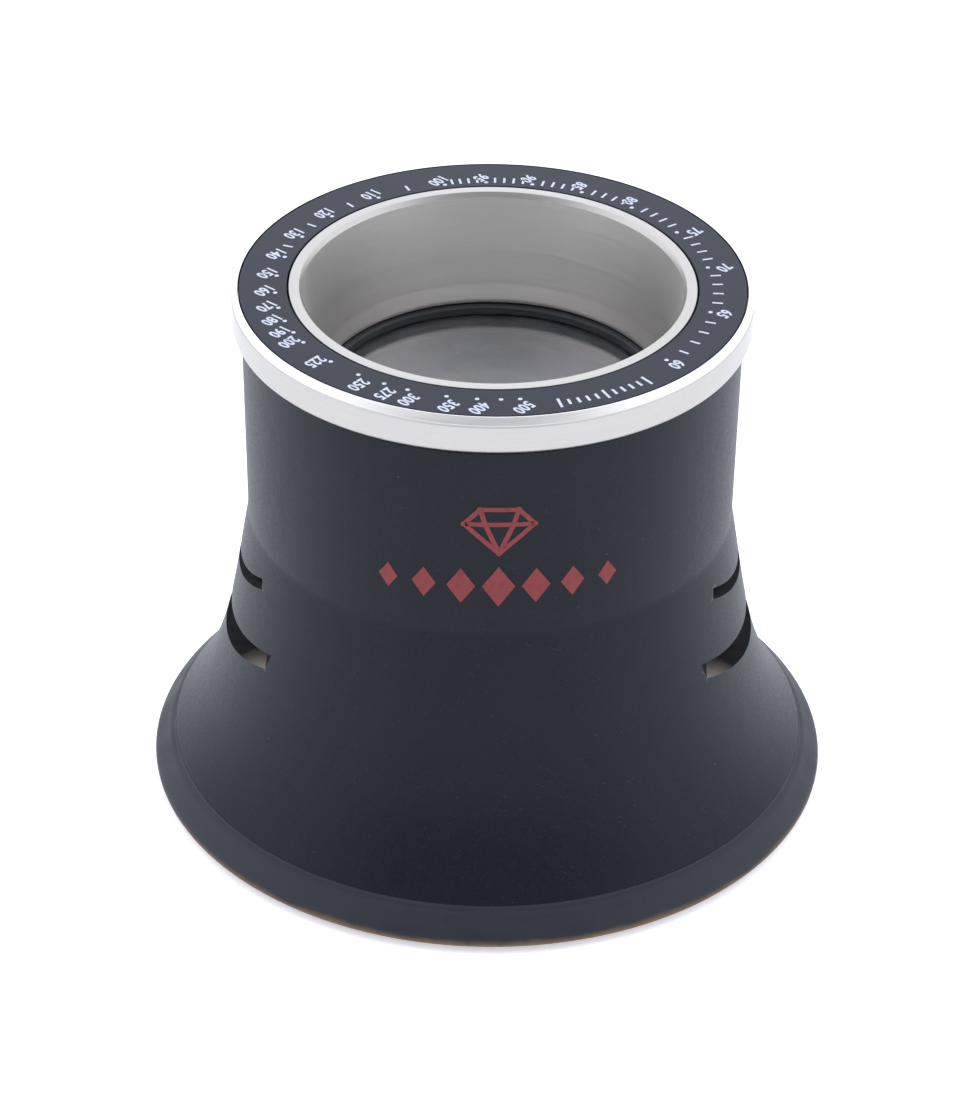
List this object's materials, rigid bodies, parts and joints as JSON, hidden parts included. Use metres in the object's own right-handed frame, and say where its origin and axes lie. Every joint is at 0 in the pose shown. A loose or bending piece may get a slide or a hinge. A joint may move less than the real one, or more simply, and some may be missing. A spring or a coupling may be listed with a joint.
{
  "type": "jewelers loupe",
  "caption": "Flared black eyecup with a soft eye rim, side vent slots and a screw-in two-lens cell under a silver bezel with a numbered scale ring.",
  "frame": {"origin": "centre of the eye rim's flat underside, on the optical axis", "axes": "+Z along the optical axis from the eye towards the object side and the bezel, -Y is the printed front, the vent slots are at +X and -X"},
  "size_m": [0.038, 0.038, 0.0305],
  "materials": {
    "eyecup_shell": "black anodised, bead blasted satin",
    "eye_rim": "soft satin",
    "seal_rubber": "smooth",
    "barrel_metal": "fine turned satin",
    "bezel_metal": "fine brushed satin",
    "scale_insert": "black anodised with white print",
    "matt_black": "matt black",
    "lens_glass": "polished, coated"
  },
  "bodies": {
    "eyecup": {"eyecup_shell": "eyecup_shell", "eye_rim": "eye_rim"},
    "cell_carrier": {"cell_seal": "seal_rubber"},
    "lens_cell": {"lens_barrel": "barrel_metal", "bezel_ring": "bezel_metal", "scale_insert": "scale_insert", "lens_seat_ring": "matt_black", "front_lens": "lens_glass", "lens_spacer": "matt_black", "eye_lens": "lens_glass", "retaining_ring": "matt_black"}
  },
  "joints": [
    {"name": "cell_rise", "type": "slide", "parent": "eyecup", "child": "cell_carrier", "axis": [0, 0, 1], "range_m": [0, 0.00275]},
    {"name": "cell_turn", "type": "hinge", "parent": "cell_carrier", "child": "lens_cell", "pos_m": [0, 0, 0.02828], "axis": [0, 0, 1], "range_deg": [0, 990]}
  ],
  "couplings": [
    {"joint": "cell_rise", "follows": "cell_turn", "m_per_rad": 0.00015915}
  ]
}
